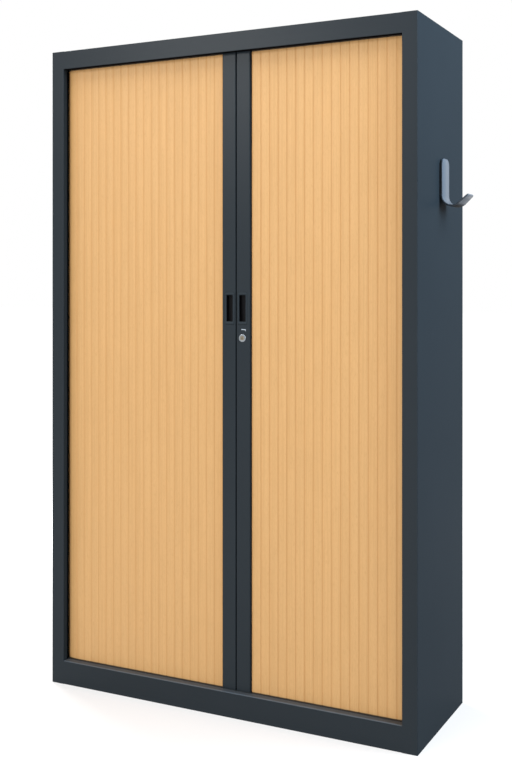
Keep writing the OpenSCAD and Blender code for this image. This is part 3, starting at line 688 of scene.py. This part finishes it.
@dataclass
class Curtain:
    """One curtain of upright slats, each hooked by its bead into the socket of the next one."""

    side: Side
    finish: bpy.types.Material
    pitch: float = 27.45 * MM
    thickness: float = 8.0 * MM
    crown: float = 0.5 * MM
    edge: float = 0.8 * MM
    bead: float = 2.3 * MM
    neck: float = 1.4 * MM
    knuckle: float = 3.7 * MM
    shoulder: float = 1.0 * MM
    play: float = 0.3 * MM
    corner_r: float = 45.0 * MM
    track_to_hinge: float = 8.1 * MM
    stile_wall: float = 2.0 * MM
    fold_w: float = 4.5 * MM
    fold_gap: float = 1.0 * MM
    count: int = 22
    chord_tries: int = 12
    tone_seed: int = 11
    # How finely the outline of a slat is drawn, and from where to where its two front edges turn
    face_points: int = 13
    edge_points: int = 4
    end_points: int = 6
    bead_points: int = 18
    socket_points: int = 20
    knuckle_points: tuple[int, int] = (10, 8)
    near_edge_deg: Pair = (200.0, 260.0)
    far_edge_deg: Pair = (280.0, 340.0)

    @property
    def recess(self) -> float:
        """Radius of the hollow at a slat's end, in which the next slat's shoulder turns."""
        return math.hypot(self.shoulder, self.thickness / 2) + self.play

    def outline(self) -> np.ndarray:
        """Closed cross-section of a slat, anticlockwise, crowned face towards -Y and socket at the origin.

        The face is -half - crown * (1 - t**2) between two rounded edges, with t from -1 to 1 across it.

        Returns:
            Array of points across the slat and through its thickness.
        """
        half, neck, recess = self.thickness / 2, self.neck / 2, self.recess
        socket, mouth = self.bead + self.play, neck + self.play
        end = self.pitch - math.sqrt(recess**2 - half**2)
        turn = math.degrees(2 * math.asin(self.pitch / 2 / self.corner_r))
        t = np.linspace(-1.0, 1.0, self.face_points)
        middle, reach = (end + self.shoulder) / 2, (end - self.shoulder) / 2 - self.edge
        face = np.stack([middle + reach * t, -half - self.crown * (1 - t**2)], -1)
        meets = math.degrees(math.acos(self.shoulder / self.knuckle))
        heel, tip = (0.0, 0.0), (self.pitch, 0.0)
        edge_y = self.edge - half

        def at(height: float, radius: float) -> float:
            """Angle at which a circle reaches a height."""
            return math.degrees(math.asin(height / radius))

        inner = [math.degrees(math.atan2(mouth, -math.sqrt(r**2 - mouth**2))) - turn
                 for r in (self.knuckle, socket)]
        return np.concatenate([
            arc(heel, self.knuckle, 180 + at(mouth, self.knuckle), 360 - meets, self.knuckle_points[0]),
            arc((self.shoulder + self.edge, edge_y), self.edge, *self.near_edge_deg, self.edge_points),
            face,
            arc((end - self.edge, edge_y), self.edge, *self.far_edge_deg, self.edge_points),
            arc(tip, recess, 180 + at(half - self.edge, recess), 180 + at(neck, recess), self.end_points),
            arc(tip, self.bead, 180 + at(neck, self.bead), 540 - at(neck, self.bead), self.bead_points),
            arc(tip, recess, 180 - at(neck, recess), 180 - at(half, recess), self.end_points),
            [(self.shoulder, half)],
            arc(heel, self.knuckle, meets, inner[0], self.knuckle_points[1]),
            arc(heel, socket, inner[1], -180 + at(mouth, socket), self.socket_points),
        ])

    def path(self, s: float) -> np.ndarray:
        """Point of the hinge line, on the right-hand side.

        The line runs straight to the corner, round a quarter circle and straight back along the side.

        Args:
            s: Distance along the line from the cabinet's middle.

        Returns:
            The point's X and Y.
        """
        lo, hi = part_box(f"lower_{self.side.word}_track")
        front = lo.y + self.track_to_hinge
        side = max(abs(lo.x), abs(hi.x)) - self.track_to_hinge
        straight, quarter = side - self.corner_r, self.corner_r * math.pi / 2
        if s < straight:
            return np.array((s, front))
        if s < straight + quarter:
            a = (s - straight) / self.corner_r
            return np.array((straight + self.corner_r * math.sin(a),
                             front + self.corner_r * (1 - math.cos(a))))
        return np.array((side, front + self.corner_r + s - straight - quarter))

    def hinges(self) -> np.ndarray:
        """Step along the hinge line from the stile's bead, by chords of one pitch.

        A step is lengthened by what its chord lacks of a pitch, again and again until it fits.

        Returns:
            The hinge points of the whole curtain.
        """
        lo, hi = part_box(f"{self.side.word}_stile")
        s = hi.x - self.bead if self.side is Side.RIGHT else -(lo.x + self.bead)
        points = [self.path(s)]
        for _ in range(self.count):
            ahead = s + self.pitch
            for _ in range(self.chord_tries):
                ahead += self.pitch - float(np.linalg.norm(self.path(ahead) - self.path(s)))
            s = ahead
            points.append(self.path(s))
        return np.array(points)

    def slats(self, name: str, first: int, last: int) -> bpy.types.Object:
        """Build some slats as one piece: the outline is laid along each chord and drawn upwards.

        Args:
            name: Name of the piece.
            first: Number of the first slat, counted from the stile.
            last: Number after the last slat.

        Returns:
            The piece, with "slat" and "across" stored at its points.
        """
        outline = self.outline()
        hinges = self.hinges()[first:last + 1]
        along = np.diff(hinges, axis=0) / self.pitch
        inward = np.stack([-along[:, 1], along[:, 0]], -1)
        flat = (hinges[:-1, None] + outline[None, :, :1] * along[:, None]
                + outline[None, :, 1:] * inward[:, None])
        flat[..., 0] *= self.side.value
        lo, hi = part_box(f"{self.side.word}_curtain")
        slats, sides = flat.shape[:2]
        points = np.empty((slats, 2, sides, 3))
        points[..., :2] = flat[:, None]
        points[:, 0, :, 2], points[:, 1, :, 2] = lo.z, hi.z
        one = ring_faces(2, sides)
        faces = [tuple(c + 2 * sides * k for c in face) for k in range(slats) for face in one]
        piece = new_piece(name, points, faces, self.finish, flip=self.side is Side.LEFT)
        tone = np.random.default_rng(self.tone_seed + self.side.value).random(self.count)[first:last]
        point_values(piece, "slat", np.broadcast_to(tone[:, None, None], points.shape[:3]))
        point_values(piece, "across", np.broadcast_to(outline[:, 0] / self.pitch, points.shape[:3]))
        return piece

    def build(self) -> None:
        """Make the run that rolls away with the stile and the slats that always fill the corner."""
        node = f"{self.side.word}_curtain"
        joint = next(j for j in frame["joints"] if j["name"] == f"{self.side.word}_door_slide")
        rolled = round(joint["range_m"][1] / self.pitch)
        run = self.slats(node + "_run", 0, rolled)
        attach(run, Body[self.side.name + "_DOOR"].value)
        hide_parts(node)
        self.roll_up(run)
        corner = self.slats(node + "_corner", rolled, self.count)
        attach(corner, Body.CARCASS.value)
        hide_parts(node)
        LOG.info("%s: %d slats, %d of them roll away", node, self.count, rolled)

    def roll_up(self, run: bpy.types.Object) -> None:
        """Read the run's points and give the run a mesh of its own.

        Args:
            run: The slats of the front.
        """
        places = np.empty(3 * len(run.data.vertices), np.float32)
        run.data.vertices.foreach_get("co", places)
        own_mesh(run)


@dataclass
class GripCup:
    """Finger grip set into a stile: a bezel with softened edges round a deep recess."""

    side: Side
    finish: bpy.types.Material
    opening: Pair = (10.0 * MM, 38.0 * MM)
    opening_r: float = 2.0 * MM
    least_r: float = 0.3 * MM
    bezel_t: float = 1.5 * MM
    bezel_r: float = 4.0 * MM
    bezel_steps: int = 15
    bezel_crown: float = 1.8
    depth: float = 13.0 * MM
    # Rings down the recess: how far in from the opening, and the share of the depth
    recess_rings: tuple[Pair, ...] = ((0.15 * MM, 0.5), (0.3 * MM, 0.9), (0.7 * MM, 0.98), (1.3 * MM, 1.0))

    def build(self) -> None:
        """Loft rounded rectangles from the back of the cup round the bezel and down to the recess floor.

        Across the bezel, with a from 0 at its outer edge to pi at the opening, the rings go in by
        (1 - cos a) / 2 of its width and stand proud by its thickness times a power of sin a, so that it
        is a rounded frame.
        """
        node = f"{self.side.word}_grip_cup"
        lo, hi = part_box(node)
        centre, half = (lo + hi) / 2, (hi - lo) / 2
        face = lo.y + self.bezel_t
        wall = hi.y - face - self.depth
        out = (half.x, half.z)
        cup = (self.opening[0] + wall, self.opening[1] + wall)
        rings = [self.ring(cup, self.opening_r, hi.y), self.ring(cup, self.opening_r, face),
                 self.ring(out, self.bezel_r, face)]
        for a in np.linspace(0.0, math.pi, self.bezel_steps)[1:]:
            u = (1 - math.cos(a)) / 2
            within = tuple(o + (i - o) * u for o, i in zip(out, self.opening))
            radius = self.bezel_r + (self.opening_r - self.bezel_r) * u
            rings.append(self.ring(within, radius, face - self.bezel_t * math.sin(a) ** self.bezel_crown))
        for inset, share in self.recess_rings:
            rings.append(self.ring(self.opening, self.opening_r, face + share * self.depth, inset))
        points = np.array(rings) + np.array((centre.x, 0.0, centre.z))
        piece = new_piece(node + "_moulding", points, ring_faces(*points.shape[:2]), self.finish)
        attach(piece, Body[self.side.name + "_DOOR"].value)
        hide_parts(node)

    def ring(self, half: Pair, radius: float, y: float, inset: float = 0.0) -> np.ndarray:
        """One rounded rectangle at depth y, drawn in by inset, in X, Y, Z."""
        flat = rounded_rectangle(half[0] - inset, half[1] - inset, max(radius - inset, self.least_r))
        return np.stack([flat[:, 0], np.full(len(flat), y), flat[:, 1]], -1)


@dataclass
class Lock:
    """Face ring of the cam lock and the printed turn mark above it."""

    metal: bpy.types.Material
    ink: bpy.types.Material
    bore: float = 6.56 * MM
    barrel: float = 9.0 * MM
    flange: float = 11.5 * MM
    proud: float = 2.5 * MM
    # The ring's two softened edges: how far out from the bore or the flange, and how far behind the front
    bore_edge: tuple[Pair, ...] = ((0.0, 1.4 * MM), (0.0, 0.5 * MM), (0.25 * MM, 0.1 * MM), (0.7 * MM, 0.0))
    flange_edge: tuple[Pair, ...] = ((-2.0 * MM, 0.0), (-1.1 * MM, 0.25 * MM), (-0.4 * MM, 0.8 * MM),
                                     (0.0, 1.5 * MM))
    ring_sides: int = 64
    mark_rise: float = 25.0 * MM
    mark_radius: float = 60.0 * MM
    mark_width: float = 2.2 * MM
    mark_t: float = 0.12 * MM
    mark_from: float = -3.4
    mark_to: float = 8.8
    mark_steps: int = 14
    barb_l: float = 4.0 * MM
    barb_share: float = 0.8

    def build(self) -> None:
        """Make both pieces."""
        self.ring()
        self.turn_mark()

    def ring(self) -> None:
        """Turn the closed profile of flange and barrel round the lock's axis."""
        lo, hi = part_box("lock_body")
        face = lo.y + self.proud
        profile = [(self.bore + out, lo.y + back) for out, back in self.bore_edge]
        profile += [(self.flange + out, lo.y + back) for out, back in self.flange_edge]
        profile += [(self.flange, face), (self.barrel, face), (self.barrel, hi.y), (self.bore, hi.y)]
        r, y = np.array(profile).T
        a = np.linspace(0.0, 2 * math.pi, self.ring_sides, endpoint=False)[:, None]
        centre = (lo + hi) / 2
        points = np.stack(np.broadcast_arrays(centre.x + r * np.cos(a), y + 0 * a,
                                              centre.z + r * np.sin(a)), -1)
        faces = ring_faces(*points.shape[:2], capped=False, looped=True)
        piece = new_piece("lock_ring", points, faces, self.metal)
        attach(piece, Body.RIGHT_DOOR.value)
        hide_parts("lock_body")

    def turn_mark(self) -> None:
        """Carry a thin bar along a flat arc above the lock that ends in a short barb towards it."""
        lo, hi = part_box("lock_body")
        centre = (lo + hi) / 2
        centre.z += self.mark_rise - self.mark_radius
        face = lo.y + self.proud
        a = np.radians(np.linspace(self.mark_from, self.mark_to, self.mark_steps))[:, None]
        radii = self.mark_radius + np.array((-0.5, -0.5, 0.5, 0.5)) * self.mark_width
        depths = np.array((0.0, -1.0, -1.0, 0.0)) * self.mark_t
        bar = np.stack(np.broadcast_arrays(centre.x + radii * np.sin(a), face + depths + 0 * a,
                                           centre.z + radii * np.cos(a)), -1)
        end = math.radians(self.mark_to)
        across = np.array((math.cos(end), 0.0, -math.sin(end)))
        inward = np.array((-math.sin(end), 0.0, -math.cos(end)))
        barb = bar[-1] + across * self.mark_width * self.barb_share
        barb[:2] += inward * self.barb_l
        points = np.concatenate([bar, barb[None]])
        piece = new_piece("turn_mark", points, ring_faces(*points.shape[:2]), self.ink)
        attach(piece, Body.RIGHT_DOOR.value)


@dataclass
class CoatHook:
    """Hook bent from one strip: plate with round top corners, round bend and a rising, tapered tip."""

    finish: bpy.types.Material
    thickness: float = 5.0 * MM
    bend_r: float = 27.0 * MM
    bend_deg: float = 132.0
    bend_steps: int = 44
    tip_l: float = 34.0 * MM
    tip_w: float = 57.0 * MM
    taper_shares: tuple[float, ...] = (0.0, 0.15, 0.4, 0.65, 1.0)
    corner: float = 20.0 * MM
    corner_steps: int = 12
    bevel: float = 5.0 * MM
    edge: float = 0.8 * MM
    edge_steps: int = 3

    def build(self) -> None:
        """Carry a rounded rectangle along the strip, as wide as the strip is at each place."""
        lo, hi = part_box("coat_hook")
        width, top = hi.y - lo.y, hi.z
        line_x = lo.x + self.thickness / 2
        mid_r = self.bend_r + self.thickness / 2
        bend_z = lo.z + self.bend_r + self.thickness
        round_a = np.radians(np.linspace(0.0, 90.0, self.corner_steps))
        s_top = self.corner * (1 - np.cos(round_a))
        w_top = width / 2 - self.corner * (1 - np.sin(round_a))
        a = np.radians(np.linspace(0.0, self.bend_deg, self.bend_steps))
        taper = np.array(self.taper_shares) * (self.tip_l - self.bevel)
        s_tip = np.append(taper, self.tip_l)
        w_taper = np.interp(taper, (0.0, self.tip_l - self.bevel), (width / 2, self.tip_w / 2))
        half_w = np.concatenate([w_top, np.full(len(a), width / 2), w_taper[1:],
                                 [self.tip_w / 2 - self.bevel]])
        end = a[-1]
        last = np.array((line_x + mid_r * (1 - math.cos(end)), bend_z - mid_r * math.sin(end)))
        heading = np.array((math.sin(end), -math.cos(end)))
        line = np.concatenate([np.stack([np.full(len(s_top), line_x), top - s_top], -1),
                               np.stack([line_x + mid_r * (1 - np.cos(a)), bend_z - mid_r * np.sin(a)], -1),
                               last + s_tip[1:, None] * heading])
        turn = np.concatenate([np.zeros(len(s_top)), a, np.full(len(s_tip) - 1, end)])
        normal = np.stack([np.cos(turn), np.sin(turn)], -1)
        pattern = 1.0  # Half width of a pattern section, whose two ends then move to each ring's width
        section = rounded_rectangle(pattern, self.thickness / 2, self.edge, self.edge_steps)
        across = np.sign(section[:, 0]) * (half_w[:, None] - pattern) + section[:, 0]
        points = np.stack([line[:, :1] + normal[:, :1] * section[:, 1], (lo.y + hi.y) / 2 + across,
                           line[:, 1:] + normal[:, 1:] * section[:, 1]], -1)
        piece = new_piece("coat_hook_strip", points, ring_faces(*points.shape[:2]), self.finish)
        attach(piece, Body.CARCASS.value)
        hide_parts("coat_hook")


# Studio


@dataclass(frozen=True)
class SoftBox:
    """A square lamp that faces a point.

    One that isn't mirrored only lights, and one that doesn't light only gleams in glossy surfaces.
    """

    name: str
    at: Point
    aim: Point
    size: float
    watts: float
    colour: Colour
    mirrored: bool = True
    lights: bool = True

    def hang(self) -> None:
        """Put the lamp into the scene."""
        data = bpy.data.lights.new(self.name, "AREA")
        data.size, data.energy, data.color = self.size, self.watts, self.colour
        lamp = bpy.data.objects.new(self.name, data)
        lamp.location = self.at
        direction = np.array(self.aim) - np.array(self.at)
        lamp.rotation_euler = (math.acos(-direction[2] / np.linalg.norm(direction)), 0.0,
                               math.atan2(direction[1], direction[0]) - math.pi / 2)
        lamp.visible_glossy, lamp.visible_diffuse = self.mirrored, self.lights
        bpy.context.scene.collection.objects.link(lamp)


@dataclass
class Studio:
    """Camera at the photograph's place, pale floor, soft lamps and a white surround."""

    camera_at: Point = (1.541, -3.015, 1.258)
    turn: float = 0.4725
    focal_px: float = 1102.7
    centre_px: Pair = (252.3, 282.1)
    image_px: tuple[int, int] = (512, 768)
    sensor_mm: float = 36.0
    floor_half: float = 40.0
    floor_colour: Colour = (0.39, 0.36, 0.345)
    bounce_colour: Colour = (0.3, 0.3, 0.3)
    bounce_roughness: float = 0.9
    near_glow: float = 0.6
    glow_from_to: Pair = (0.9, 2.6)
    ambient: float = 0.29
    white: Colour = (1.0, 1.0, 1.0)
    warm: Colour = (1.0, 0.985, 0.96)
    cool: Colour = (0.9, 0.96, 1.0)
    blue: Colour = (0.69, 0.86, 1.0)

    def build(self) -> None:
        """Make the camera, the floor, the world and the lamps."""
        self.camera()
        self.floor()
        self.world()
        for box in self.lamps():
            box.hang()

    def lamps(self) -> tuple[SoftBox, ...]:
        """The lamps: warm from the front, blue from the right, cool from behind and white from above.

        Returns:
            The lamps, not yet hung.
        """
        front = (0.0, -0.2, 1.0)
        return (
            SoftBox("key", (-1.0, -4.7, 3.0), front, 1.1, 47.0, self.warm, mirrored=False),
            SoftBox("gloss", (-2.3, -4.4, 3.0), front, 1.1, 48.0, self.warm, lights=False),
            SoftBox("fill", (0.2, -5.2, 1.3), (0.0, -0.2, 0.9), 2.4, 97.0, self.warm, mirrored=False),
            SoftBox("side", (2.7, 0.0, 2.9), (0.6, 0.0, 1.7), 2.4, 180.0, self.blue),
            SoftBox("rear", (-2.7, 1.5, 2.4), (-0.6, 0.1, 1.1), 1.6, 170.0, self.cool),
            SoftBox("top", (0.0, -1.4, 4.2), (0.0, -0.2, 0.6), 1.8, 36.0, self.white),
        )

    def camera(self) -> None:
        """Set the camera: level, with the frame shifted so that upright edges stay parallel."""
        data = bpy.data.cameras.new("camera")
        longest = max(self.image_px)
        data.sensor_width = self.sensor_mm
        data.lens = self.focal_px * data.sensor_width / longest
        data.shift_x = (self.image_px[0] / 2 - self.centre_px[0]) / longest
        data.shift_y = (self.centre_px[1] - self.image_px[1] / 2) / longest
        camera = bpy.data.objects.new("camera", data)
        camera.location = self.camera_at
        camera.rotation_euler = (math.pi / 2, 0.0, self.turn)
        bpy.context.scene.collection.objects.link(camera)
        bpy.context.scene.camera = camera

    def floor(self) -> None:
        """Lay a wide pale floor that shows white to the eye and keeps a soft shadow.

        What the eye sees is lit paint plus a glow, weaker near the object so that the shadow shows.
        """
        material, tree, shader = new_material("pale_floor")
        tree.fill(shader, {"Base Color": self.bounce_colour, "Roughness": self.bounce_roughness})
        pale = tree.node("ShaderNodeBsdfDiffuse", {"Color": self.floor_colour}).outputs[0]
        away = tree.node("ShaderNodeVectorMath", {0: tree.object_point()}, operation="LENGTH")
        far = tree.band(away.outputs["Value"], *self.glow_from_to)
        strength = tree.math("MULTIPLY_ADD", far, 1.0 - self.near_glow, self.near_glow)
        glow = tree.node("ShaderNodeEmission", {"Strength": strength}).outputs[0]
        shown = tree.node("ShaderNodeAddShader", {0: pale, 1: glow}).outputs[0]
        ends = {0: self.seen(tree), 1: shader.outputs[0], 2: shown}
        mixed = tree.node("ShaderNodeMixShader", ends).outputs[0]
        tree.put(material.node_tree.nodes["Material Output"].inputs["Surface"], mixed)
        h = self.floor_half
        corners = np.array(((-h, -h, 0.0), (h, -h, 0.0), (h, h, 0.0), (-h, h, 0.0)))
        floor = new_piece("floor", corners, [(0, 1, 2, 3)], material)

    def world(self) -> None:
        """Surround of soft white light that the camera and mirrors see as white."""
        world = bpy.data.worlds.new("surround")
        world.use_nodes = True
        tree = Tree(world.node_tree)
        strength = tree.math("MULTIPLY_ADD", self.seen(tree), 1.0 - self.ambient, self.ambient)
        tree.fill(world.node_tree.nodes["Background"], {"Color": self.white, "Strength": strength})
        bpy.context.scene.world = world

    @staticmethod
    def seen(tree: Tree) -> bpy.types.NodeSocket:
        """1 for what the camera, a mirror or a pane sees, 0 for what only gives light.

        Args:
            tree: The node tree that asks.

        Returns:
            The output that carries the number.
        """
        path = tree.node("ShaderNodeLightPath")
        mirrored = tree.math("MAXIMUM", path.outputs["Is Glossy Ray"], path.outputs["Is Transmission Ray"])
        return tree.math("MAXIMUM", mirrored, path.outputs["Is Camera Ray"])


def dress(finish: bpy.types.Material, *nodes: str) -> None:
    """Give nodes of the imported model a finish.

    Args:
        finish: The material.
        *nodes: Names of the nodes.
    """
    for name in nodes:
        materials = frame["nodes"][name].data.materials
        materials.clear()
        materials.append(finish)
    LOG.info("%s on %d nodes", finish.name, len(nodes))


def both(pattern: str) -> tuple[str, ...]:
    """A node name for each side, with the side's word put into the pattern."""
    return tuple(pattern.format(side.word) for side in Side)


def dress_nodes() -> None:
    """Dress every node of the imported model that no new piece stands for."""
    anthracite = PowderCoat("anthracite_paint", ANTHRACITE).material()
    # Ledge: heavier dust, which partly paints light from above, and a painted highlight along its front
    # edge
    ledge = PowderCoat("dusty_ledge_paint", ANTHRACITE, dust=0.15, rub_y=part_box("plinth")[0].y).material()
    # Back panels: a painted shadow line along the seam between them
    seamed = PowderCoat("back_paint", ANTHRACITE, seam_x=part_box("left_back_panel")[1].x).material()
    zinc = BareMetal("zinc_plate", colour=(0.55, 0.57, 0.60), roughness=0.42,
                     stretch=(90.0, 90.0, 9.0)).material()
    black = MouldedPlastic("black_plastic", colour=(0.016, 0.017, 0.018)).material()
    nickel = BareMetal("plug_nickel", colour=(0.27, 0.235, 0.18), roughness=0.28, stretch=TURNED).material()
    rubber = MouldedPlastic("magnet_rubber", colour=(0.012, 0.012, 0.013), roughness=0.72,
                            grain=500.0).material()
    foot = FootFinish("foot_plastic_and_stud", pad=(0.02, 0.02, 0.021), stud=(0.55, 0.56, 0.58),
                      stud_z=6.5 * MM).material()
    shelves = [f"shelf_{k}" for k in range(1, 5)]
    dress(anthracite, "top_panel", "ceiling_panel", "floor_panel", *both("{}_side_panel"),
          *both("{}_liner"), *shelves, *both("{}_stile"))
    dress(ledge, "plinth")
    dress(seamed, *both("{}_back_panel"))
    dress(zinc, *both("{}_shelf_rails"), "shelf_clips", "foot_brackets", "foot_nuts", "lock_keeper",
          "lock_nut", "lock_cam", "lock_cam_screw")
    dress(black, *both("upper_{}_track"), *both("lower_{}_track"), *both("{}_stile_glides"))
    dress(nickel, "lock_plug")
    dress(rubber, "hook_magnet")
    dress(foot, *both("front_{}_foot"), *both("rear_{}_foot"))


def main() -> None:
    """Build the scene piece by piece."""
    logging.basicConfig(level=logging.INFO, format="%(name)s: %(message)s")
    bpy.context.scene.view_settings.view_transform = "Standard"
    Studio().build()
    dress_nodes()
    # Slats: painted shade along the seams, at the foot and at the head
    beech = BeechFilm("beech_film", colour=(0.763, 0.445, 0.185), grain_colour=(0.710, 0.398, 0.156),
                      seam_colour=(0.62, 0.30, 0.092), foot_z=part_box("lower_left_track")[1].z,
                      head_z=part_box("upper_left_track")[0].z).material()
    # Grip moulding: painted shade in the crease round the bezel and down the recess
    cup_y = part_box("left_grip_cup")[0].y
    grip = RecessedPlastic("grip_moulding", colour=(0.027, 0.036, 0.044), crease=(0.005, 0.007, 0.009),
                           inside=(0.003, 0.003, 0.004), rim_y=cup_y + 0.3 * MM, foot_y=cup_y + 1.4 * MM,
                           floor_y=cup_y + 2.8 * MM).material()
    chrome = BareMetal("ring_nickel", colour=(0.27, 0.295, 0.32), roughness=0.24, stretch=TURNED).material()
    ink = MouldedPlastic("white_ink", colour=(0.56, 0.63, 0.71), roughness=0.45, grain=600.0).material()
    # Hook: painted shade on the strip's front and back edges
    hook = PowderCoat("hook_paint", colour=(0.062, 0.090, 0.125), roughness=0.32, specular=0.5, coat=0.0,
                      dust=0.0, edge_wear=0.7).material()
    for side in Side:
        Curtain(side, beech).build()
        GripCup(side, grip).build()
    Lock(chrome, ink).build()
    CoatHook(hook).build()


if __name__ == "__main__":
    main()
